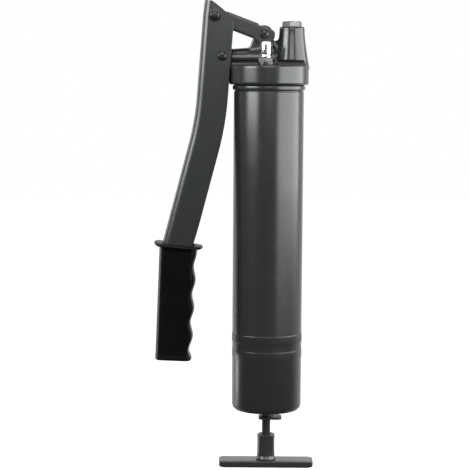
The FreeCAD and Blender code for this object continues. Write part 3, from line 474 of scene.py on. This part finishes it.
nut_line = rounded([
    (3.05, 146.75, 0.0), (6.4, 146.75, 0.2), (6.4, 148.9, 0.5), (6.3, 149.0, 0.1),
    (6.36, 149.3, 0.1), (6.36, 152.3, 0.2), (5.3, 152.9, 0.2), (3.5, 152.95, 0.1)])
zinc_plate = grained("nipple_zinc", (0.030, 0.030, 0.031), (0.055, 0.055, 0.056), 0.5, 0.9, 0.32,
                     3.0)
nut_grid = hexagonal(turned(nut_line, 96, *NIPPLE), 11.0, 149.1, 152.94, *NIPPLE, lean=0.1)
nut = surface("nipple_hexagon", nut_grid, zinc_plate, joined=True, crease=28.0)
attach(nut, "head")
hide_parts("filler_nipple")
nipple_line = rounded([
    (1.1, 143.3, 0.0), (3.1, 143.3, 0.2), (3.1, 152.2, 0.2), (4.1, 152.6, 0.2),
    (4.1, 153.9, 0.2), (3.7, 154.3, 0.2), (3.7, 155.1, 0.2), (4.1, 155.6, 0.2),
    (4.1, 164.5, 0.8), (3.0, 165.3, 0.6), (1.5, 165.3, 0.2), (1.1, 164.9, 0.1),
    (1.1, 164.2, 0.0), (2.4, 164.2, 0.2), (2.4, 148.2, 0.1), (1.1, 148.2, 0.0)])
chrome = grained("nipple_chrome", (0.70, 0.71, 0.73), (0.78, 0.79, 0.81), 0.8, 1.0, 0.07, 0.6,
                 spread=0.02, stretch=(0.2, 0.2, 5))
nipple = surface("nipple_shank", turned(nipple_line, 72, *NIPPLE), chrome, joined=True,
                 crease=28.0)
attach(nipple, "head")
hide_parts("filler_nipple")


# Link: 2 mm steel sheet folded into a channel over the lug, painted, with a web on top that
# stops short of both rounded ends, and a hole for a riveted pin at each end.

TOP_PIN = (-43.5, 185.8)
LINK_HALF, LINK_INSIDE, LINK_DEEP, TOP_ROUND, LUG_ROUND = 8.7, 6.7, 6.0, 6.6, 8.2
WEB_MIDDLE, WEB_HALF, WEB_FOOT = 21.5, 13.5, 4.6
link_run = np.hypot(LUG[0] - TOP_PIN[0], TOP_PIN[1] - LUG[1])
link_low, link_step = (-7.6, -9.7, -9.0), 0.36
u, v, w = raster(link_low, (link_run + 9.2, 9.7, 8.2), link_step)
plates = np.minimum(box_2d(u - link_run / 2, w, link_run / 2, LINK_DEEP),
                    np.hypot(u, w) - TOP_ROUND)
plates = joined_by(plates, np.hypot(u - link_run - 0.6, w + 0.2) - LUG_ROUND, 2.0)
plates = np.minimum(plates, box_2d(u - WEB_MIDDLE, w - 1.0, WEB_HALF, 5.6, 0.6))
plates = shared_by(plates, w - np.where(u > 35.2, 5.4, 6.6), 1.2)
bend = np.where((u > 7.6) & (u < 35.4), 1.7, 0.7)
folded = shared_by(plates, np.abs(v) - LINK_HALF, bend)
gap = np.maximum(np.abs(v) - LINK_INSIDE,
                 np.minimum(w - WEB_FOOT, WEB_HALF - np.abs(u - WEB_MIDDLE)))
folded = np.maximum(folded, -gap)
for along in (0.0, link_run):
    folded = np.maximum(folded, PIN_HOLE - np.hypot(u - along, w))
spots, faces = skin(link_low, link_step, folded)
link_lean = math.atan2(TOP_PIN[1] - LUG[1], LUG[0] - TOP_PIN[0])
cosine, sine = math.cos(link_lean), math.sin(link_lean)
spots = np.stack([TOP_PIN[0] + spots[:, 0] * cosine + spots[:, 2] * sine, spots[:, 1],
                  TOP_PIN[1] - spots[:, 0] * sine + spots[:, 2] * cosine], -1)
sheet_paint = grained("lever_anthracite", (0.0086, 0.0096, 0.0101), (0.0238, 0.0260, 0.0273), 0.4,
                      0.35, 0.29, 2.5, spread=0.015)
link = shell("link_channel", spots, faces, sheet_paint, crease=50.0, tidied=False)
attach(link, "link")
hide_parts("link")


# Lever: a channel of 2 mm steel sheet with softly rolled back corners, bent at a knee, with its
# top cut away in a brow. Its lower end runs down inside the grip.

LEVER_DEPTH, LEVER_HALF, LEVER_SHEET, LEVER_SPARE, LEVER_BEND = 24.0, 11.0, 2.0, 0.8, 6.0
UPPER, LOWER, GRIP_LEAN = (math.radians(angle) for angle in (4.1, 14.6, 2.0))
BACK_TOP = np.array([-51.306, 197.70])
ANKLE = np.array([-83.73, 4.01])
KNEE_TOP = 75.71
KNEE_FOOT = KNEE_TOP + 39.9
ANKLE_RUN = KNEE_FOOT + 81.5
BROW_RUN, BROW_DEPTH = 16.5, 5.5


def back_line(run):
    """Place of the lever's back at each run down it from its top.

    A straight, then an arc whose lean grows evenly with the run, then a straight to the ankle
    and one inside the grip, each place being the last plus the run times the lean's direction."""
    fine = np.linspace(0, run.max(), 4000)
    lean = np.interp(fine, [0, KNEE_TOP, KNEE_FOOT, ANKLE_RUN, ANKLE_RUN + 0.01, 999],
                     [UPPER, UPPER, LOWER, LOWER, GRIP_LEAN, GRIP_LEAN])
    step = np.diff(fine, prepend=0)
    across = BACK_TOP[0] - np.cumsum(np.sin(lean) * step)
    height = BACK_TOP[1] - np.cumsum(np.cos(lean) * step)
    return np.interp(run, fine, across), np.interp(run, fine, height)


def channel(depth, half, sheet, bend):
    """Points round a channel's section, as depth from its back and place across.

    Outer side first from one edge round the back to the other, then the inner side back again.
    Depth is given per row, so the section grows and shrinks along the channel."""
    turn = np.linspace(0, np.pi / 2, 7)[None]
    inner = max(bend - sheet, 0.4)
    rows, wide = depth[:, None], np.ones((len(depth), 1))
    spread = np.linspace(0, 1, 6)[None, 1:-1]
    tip = rows - 0.3
    outer = [rows, tip, tip + (bend - tip) * spread, (bend - bend * np.sin(turn)) * wide]
    outer_side = [half - 0.3, half, half, half - bend + bend * np.cos(turn)]
    inward = [(sheet + inner - inner * np.sin(turn[:, ::-1])) * wide,
              sheet + inner + (tip - sheet - inner) * spread, tip, rows]
    inward_side = [half - sheet - inner + inner * np.cos(turn[:, ::-1]), half - sheet,
                   half - sheet, half - sheet + 0.3]
    reach, inner_reach = np.concatenate(outer, 1), np.concatenate(inward, 1)
    side, inner_side = (np.concatenate([np.broadcast_to(places, part.shape) for places, part
                                        in zip(places_of, parts_of)], 1)
                        for places_of, parts_of in ((outer_side, outer), (inward_side, inward)))
    return (np.concatenate([reach, reach[:, ::-1], inner_reach[:, ::-1], inner_reach], 1),
            np.concatenate([side, -side[:, ::-1], -inner_side[:, ::-1], inner_side], 1))


run = np.concatenate([[0.0, 0.25], np.linspace(0.8, BROW_RUN, 18), np.linspace(19, 75, 22),
                      np.linspace(77, 115, 26), np.linspace(118, 192, 26), [195.0, 197.0],
                      [197.2, 203.0, 209.0, 240.0, 282.8, 283.1]])
across, height = back_line(run)
section_lean = np.interp(run, [0, KNEE_TOP, 115.6, 172.0, ANKLE_RUN, 300],
                         [UPPER, UPPER, LOWER, LOWER, GRIP_LEAN, GRIP_LEAN])
spare = (LEVER_SPARE * np.clip((ANKLE_RUN + 8 - run) / 10, 0, 1)
         * np.clip(run / BROW_RUN + 0.3, 0, 1))
brow = BROW_DEPTH + (LEVER_DEPTH - BROW_DEPTH) * (1 - (1 - np.clip(run / BROW_RUN, 0, 1)) ** 1.5)
inside_grip = np.interp(run, [ANKLE_RUN, ANKLE_RUN + 12], [LEVER_DEPTH, 20.0])
depth = np.where(run > ANKLE_RUN, inside_grip, brow) + spare
reach, side = channel(depth, LEVER_HALF, LEVER_SHEET, LEVER_BEND)
reach = reach - spare[:, None]
grid = np.stack([across[:, None] + reach * np.cos(section_lean)[:, None], side,
                 height[:, None] - reach * np.sin(section_lean)[:, None]], -1)
lever_rows, lever_columns = grid.shape[:2]
index = np.arange(lever_rows * lever_columns).reshape(lever_rows, lever_columns)
outer_ring = index[:, :lever_columns // 2]
inner_ring = index[:, lever_columns // 2:][:, ::-1]
caps = [np.stack([outer_ring[row, :-1], outer_ring[row, 1:], inner_ring[row, 1:],
                  inner_ring[row, :-1]], -1) for row in (0, -1)]
walls = knit(lever_rows, lever_columns, False)
lever = shell("lever_channel", grid.reshape(-1, 3), np.concatenate([walls, *caps]), sheet_paint,
              crease=40.0)
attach(lever, "lever")
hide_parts("lever")


# Pins: three steel rivets across the link and lever, painted with them. The lever's pin has a
# wide ring with a domed middle, and the other two have plain domed heads with a small flat.

def rivet(name, line, place, finish):
    """A headed pin along Y: a half line of radius and reach, mirrored, turned about the pin."""
    half = rounded([(0.0, 0.0, 0.0)] + line + [(0.0, line[-1][1], 0.0)], 5)[5:]
    whole = np.concatenate([half[::-1] * (1, -1), half])
    grid = turned(whole, 64)
    grid = np.stack([place[0] + grid[..., 0], grid[..., 2], place[1] + grid[..., 1]], -1)
    return surface(name, grid, finish, crease=35.0)


pin_paint = grained("rivet_anthracite", (0.004, 0.0042, 0.0044), (0.010, 0.0105, 0.011), 0.5, 0.4,
                    0.22, 2.0)
lug_pin = rivet("lug_rivet", [(3.0, 8.74, 0.0), (3.7, 8.75, 0.1), (3.7, 9.2, 0.3),
                              (3.0, 9.85, 0.7), (1.7, 10.22, 1.2)], LUG, pin_paint)
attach(lug_pin, "head")
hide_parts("lug_pin")
lever_pin = rivet("lever_rivet", [(3.0, 11.04, 0.0), (5.2, 11.05, 0.1), (5.2, 11.6, 0.2),
                                  (3.5, 11.65, 0.2), (3.2, 11.75, 0.1), (2.7, 12.25, 0.6),
                                  (1.5, 12.52, 1.1)], TOP_PIN, pin_paint)
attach(lever_pin, "lever")
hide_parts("lever_pin")
PUSH_PIN = (-37.7, PUMP_Z)
push_pin = rivet("plunger_rivet", [(2.0, 11.04, 0.0), (3.7, 11.05, 0.1), (3.7, 11.5, 0.3),
                                   (3.0, 12.15, 0.7), (1.7, 12.5, 1.2)], PUSH_PIN, pin_paint)
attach(push_pin, "lever")
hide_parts("plunger_pin")


# Grip: a black moulded sleeve pushed over the lever's end: flat sides with a moulded line, a
# rounded front with four finger hollows, a guard lip at its top and a slightly flared foot.

GRIP_BACK, GRIP_LENGTH, GRIP_DEPTH, GRIP_HALF = 3.2, 94.2, 30.5, 13.5
GRIP_MIDDLE, FIRST_CREST, CREST_PITCH = 15.2, 6.9, 22.6
FLARE_START, FLARE_RUN, FOOT_FLARE, GRIP_LINE, LIP_LINE = 87.2, 7.0, 0.9, 24.9, 27.5
LIP_DEPTH, LIP_HALF, LIP_BACK, LIP_ROUND, MOUTH_HALF = 39.4, 17.5, 4.45, 8.0, 11.15
down = np.array([-math.sin(GRIP_LEAN), -math.cos(GRIP_LEAN)])
over = np.array([math.cos(GRIP_LEAN), -math.sin(GRIP_LEAN)])
grip_start = ANKLE - GRIP_BACK * over


def grip_section(front, half, line, back_round=5.0):
    """Points round a grip's section: depth from its back and place across, per row.

    The back corners are a superellipse, the sides flat, and beyond the moulded line the section
    steps in a little and closes towards the front as a rounder superellipse."""
    behind = line * (1 - np.cos(np.linspace(0, np.pi / 2, 22)))[None]
    before = line + 0.4 + (front - line - 0.4) * np.sin(np.linspace(0, np.pi / 2, 19))[None]
    place = np.concatenate([behind, before], 1)
    back = np.clip(1 - place / back_round, 0, 1)
    width = half * (1 - back ** 2.6) ** (1 / 2.6)
    ahead = np.clip((place - line) / (front - line), 0, 1)
    closing = (half - 0.8) * (1 - ahead ** 2.5) ** (1 / 2.5)
    width = np.where(place > line, closing, width)
    return (np.concatenate([place, place[:, ::-1]], 1),
            np.concatenate([width, -width[:, ::-1]], 1))


def lip_tilt(reach, side):
    """How far the lip lies lower at a point: it tilts towards the front and bows at the sides."""
    return 0.06 * reach + 1.2 * (side / LIP_HALF) ** 2


drop = np.concatenate([[GRIP_LENGTH, GRIP_LENGTH, 94.1, 93.6, 92.6], np.linspace(91.2, 2.2, 84)])
run_out = np.clip((94.6 - drop) / 7, 0, 1)
hollow = (1 - np.cos(2 * np.pi * (drop - FIRST_CREST) / CREST_PITCH)) / 2 * run_out
hollow_depth = (1.8 + 0.9 * drop / GRIP_LENGTH) * hollow * (drop > FIRST_CREST)
front = GRIP_DEPTH - drop / GRIP_LENGTH * 0.9 - hollow_depth
flare = np.clip((drop - FLARE_START) / FLARE_RUN, 0, 1) ** 2 * FOOT_FLARE
shrink = np.concatenate([[1.0, 0.12, 0.035, 0.01], np.zeros(len(drop) - 4)])
half = GRIP_HALF - FOOT_FLARE + flare
reach, side = grip_section(front[:, None], half[:, None], np.full((len(drop), 1), GRIP_LINE))
reach = GRIP_MIDDLE + (reach - GRIP_MIDDLE) * (1 - shrink[:, None])
side = side * (1 - shrink[:, None])
reach = reach + np.where(reach < GRIP_MIDDLE, -0.35 * flare[:, None], 0)
lip_turn = np.linspace(0.0, np.pi, 9)[:, None]
lip_sizes = (np.full((9, 1), size) for size in (LIP_DEPTH, LIP_HALF, LIP_LINE))
lip_reach, lip_side = grip_section(*lip_sizes, back_round=LIP_ROUND)
lip_scale = 1 - (1 - np.sin(lip_turn)) * 0.12
lip_reach = GRIP_MIDDLE + (lip_reach - LIP_BACK - GRIP_MIDDLE) * lip_scale
lip_side = lip_side * lip_scale
lip_drop = 0.3 + 1.5 * np.cos(lip_turn) + lip_tilt(lip_reach, lip_side)
mouth_drop, mouth_depth, mouth_half, mouth_spare, on_lip = np.array([
    (-1.1, 24.9, 11.6, 0.85, 1), (-0.7, 24.3, MOUTH_HALF, 0.85, 1),
    (4.0, 24.3, MOUTH_HALF, 0.85, 0), (12.0, 21.6, MOUTH_HALF, 0, 0),
    (86.1, 20.3, MOUTH_HALF, 0, 0), (86.2, 0.2, 0.1, 0, 0)]).T[..., None]
mouth_depth = mouth_depth + mouth_spare
mouth_reach, mouth_side = grip_section(mouth_depth, mouth_half, mouth_depth - 1.0, 1.2)
mouth_side = np.where(np.abs(mouth_side) > 0.5 * MOUTH_HALF, np.sign(mouth_side) * MOUTH_HALF,
                      mouth_side)
mouth_side[-1] = 0.0
mouth_side[0] *= 1.04
mouth_reach = mouth_reach + GRIP_BACK - 0.15 - mouth_spare
mouth_reach[-1] = 10.0
mouth_drop = mouth_drop + on_lip * lip_tilt(mouth_reach, mouth_side)
rows_reach = np.concatenate([reach, lip_reach, mouth_reach])
rows_side = np.concatenate([side, lip_side, mouth_side])
rows_drop = np.concatenate([drop[:, None] * np.ones(reach.shape[1]), lip_drop, mouth_drop])
grip_grid = np.stack([grip_start[0] + rows_reach * over[0] + rows_drop * down[0], rows_side,
                      grip_start[1] + rows_reach * over[1] + rows_drop * down[1]], -1)
grip_black = grained("grip_black", (0.0006, 0.0006, 0.0007), (0.0016, 0.0016, 0.0018), 1.6, 0.0,
                     0.33, 8.0, spread=0.04, gloss=0.11)
grip = surface("grip_sleeve", grip_grid, grip_black, crease=42.0)
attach(grip, "lever")
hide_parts("lever_grip")


# Handle: a turned hub with a dished top and a spread foot, painted, on a flat forged bar with
# rounded corners and a bowed underside. The rod runs through the hub and ends inside the bar.

HUB_TOP, HUB_FOOT, HUB_BORE = -151.5, -172.5, 3.56
hub_line = rounded([
    (HUB_BORE, HUB_FOOT, 0.0), (8.1, HUB_FOOT, 0.2), (8.1, -171.6, 0.5), (7.2, -169.4, 1.0),
    (7.0, -157.0, 0.0), (7.2, -152.3, 0.3), (6.6, HUB_TOP, 0.4), (5.4, HUB_TOP, 0.3),
    (4.4, -153.4, 0.5), (HUB_BORE, -153.5, 0.0)], 5)
handle_paint = grained("handle_anthracite", (0.0110, 0.0118, 0.0123), (0.0310, 0.0330, 0.0345),
                       0.5, 0.35, 0.28, 4.0)
hub = surface("handle_turned_hub", turned(hub_line, 72), handle_paint, joined=True, crease=34.0)
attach(hub, "handle")
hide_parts("handle_hub")

BAR_HALF, BAR_WIDE, BAR_TOP, BAR_CORNER, BAR_THICK = 38.2, 10.7, -172.55, 5.0, 6.3


def plan(inset):
    """Points round the bar's plan with its rounded corners, drawn in by an inset, per row."""
    turn = np.linspace(0, 2 * np.pi, 96, endpoint=False)[None]
    corner = np.maximum(BAR_CORNER - inset, 0.3)
    across = np.sign(np.cos(turn)) * (BAR_HALF - inset - corner) + corner * np.cos(turn)
    along = np.sign(np.sin(turn) + 1e-9) * (BAR_WIDE - inset - corner) + corner * np.sin(turn)
    return across, along


inset = np.array([10.6, 7.0, 0.9, 0.5, 0.24, 0.07, 0.0, 0.0, 0.15, 0.6, 1.3, 4.0, 10.6])[:, None]
level = np.array([0.0, 0.0, 0.0, -0.07, -0.26, -0.52, -0.9, -0.9, -0.35, -0.05, 0.0, 0.0, 0.0])
across, along = plan(inset)
under = np.arange(len(inset))[:, None] >= 7
thick = BAR_THICK - 1.25 * (across / BAR_HALF) ** 2
heights = np.where(under, BAR_TOP - thick - level[:, None], BAR_TOP + level[:, None])
bar_grid = np.stack([across, along, heights], -1)
bar_grid[[0, -1], :, :2] = 0.0
bar_grid[-1, :, 2] = BAR_TOP - BAR_THICK + 0.05
bar = surface("handle_flat_bar", bar_grid, handle_paint, crease=40.0)
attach(bar, "handle")
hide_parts("t_handle")


# Latch plate: a small stamped steel plate round the rod, longer at its right end, where a
# thumb tilts it. Its hole is a little larger than the rod, and it is dark from its treatment.

LATCH_Z, LATCH_HALF_THICK, LATCH_HOLE = -138.1, 0.9, 4.1
latch_low, latch_step = (-10.5, -9.0, -142.4), 0.3
x, y, z = raster(latch_low, (14.0, 9.0, -135.8), latch_step)
plate = shared_by(box_2d(x - 3.1, y, 9.4, 8.0, 3.0), np.abs(z - LATCH_Z) - LATCH_HALF_THICK, 0.5)
plate = np.maximum(plate, LATCH_HOLE - np.hypot(x, y))
latch_steel = grained("latch_steel", (0.055, 0.055, 0.057), (0.12, 0.12, 0.125), 0.6, 0.8, 0.36,
                      5.0)
latch = shell("latch_stamped_plate", *skin(latch_low, latch_step, plate), latch_steel,
              crease=55.0, tidied=False)
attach(latch, "latch")
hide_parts("latch_plate")


# Rod and bush: a drawn steel rod through the follower, bush, latch and hub, darkened by oil and
# with faint lines along it, and a turned steel bush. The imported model's shapes stay.

rod_steel = grained("rod_steel", (0.030, 0.030, 0.031), (0.080, 0.080, 0.082), 0.5, 0.85, 0.34,
                    4.0, stretch=(1, 1, 0.2))
bush_steel = grained("bush_steel", (0.10, 0.10, 0.10), (0.19, 0.19, 0.195), 0.4, 0.85, 0.4, 4.0)


# Inner pieces: seals of black rubber, turned and ground steel, and springs of drawn wire. They
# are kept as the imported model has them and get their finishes.

seal_rubber = grained("seal_rubber", (0.010, 0.010, 0.010), (0.022, 0.022, 0.022), 0.7, 0.0, 0.62,
                      8.0)
ground_steel = grained("ground_steel", (0.44, 0.44, 0.445), (0.60, 0.60, 0.605), 0.4, 1.0, 0.24,
                       2.0, stretch=(0.3, 1, 1))
spring_steel = grained("spring_steel", (0.26, 0.26, 0.27), (0.44, 0.44, 0.45), 0.3, 1.0, 0.32, 3.0)
finishes = {
    "follower_rod": rod_steel, "rod_bush": bush_steel, "rod_nut": ground_steel,
    "head_gasket": seal_rubber, "plunger_seal": seal_rubber, "follower_cup": seal_rubber,
    "gland_ring": ground_steel, "check_ball": ground_steel, "nipple_ball": ground_steel,
    "plunger": ground_steel, "follower_plate": ground_steel, "follower_washer": ground_steel,
    "check_spring": spring_steel, "nipple_spring": spring_steel, "latch_spring": spring_steel,
    "follower_spring": spring_steel}
for name, finish in finishes.items():
    for slot in nodes[name].material_slots:
        slot.material = finish
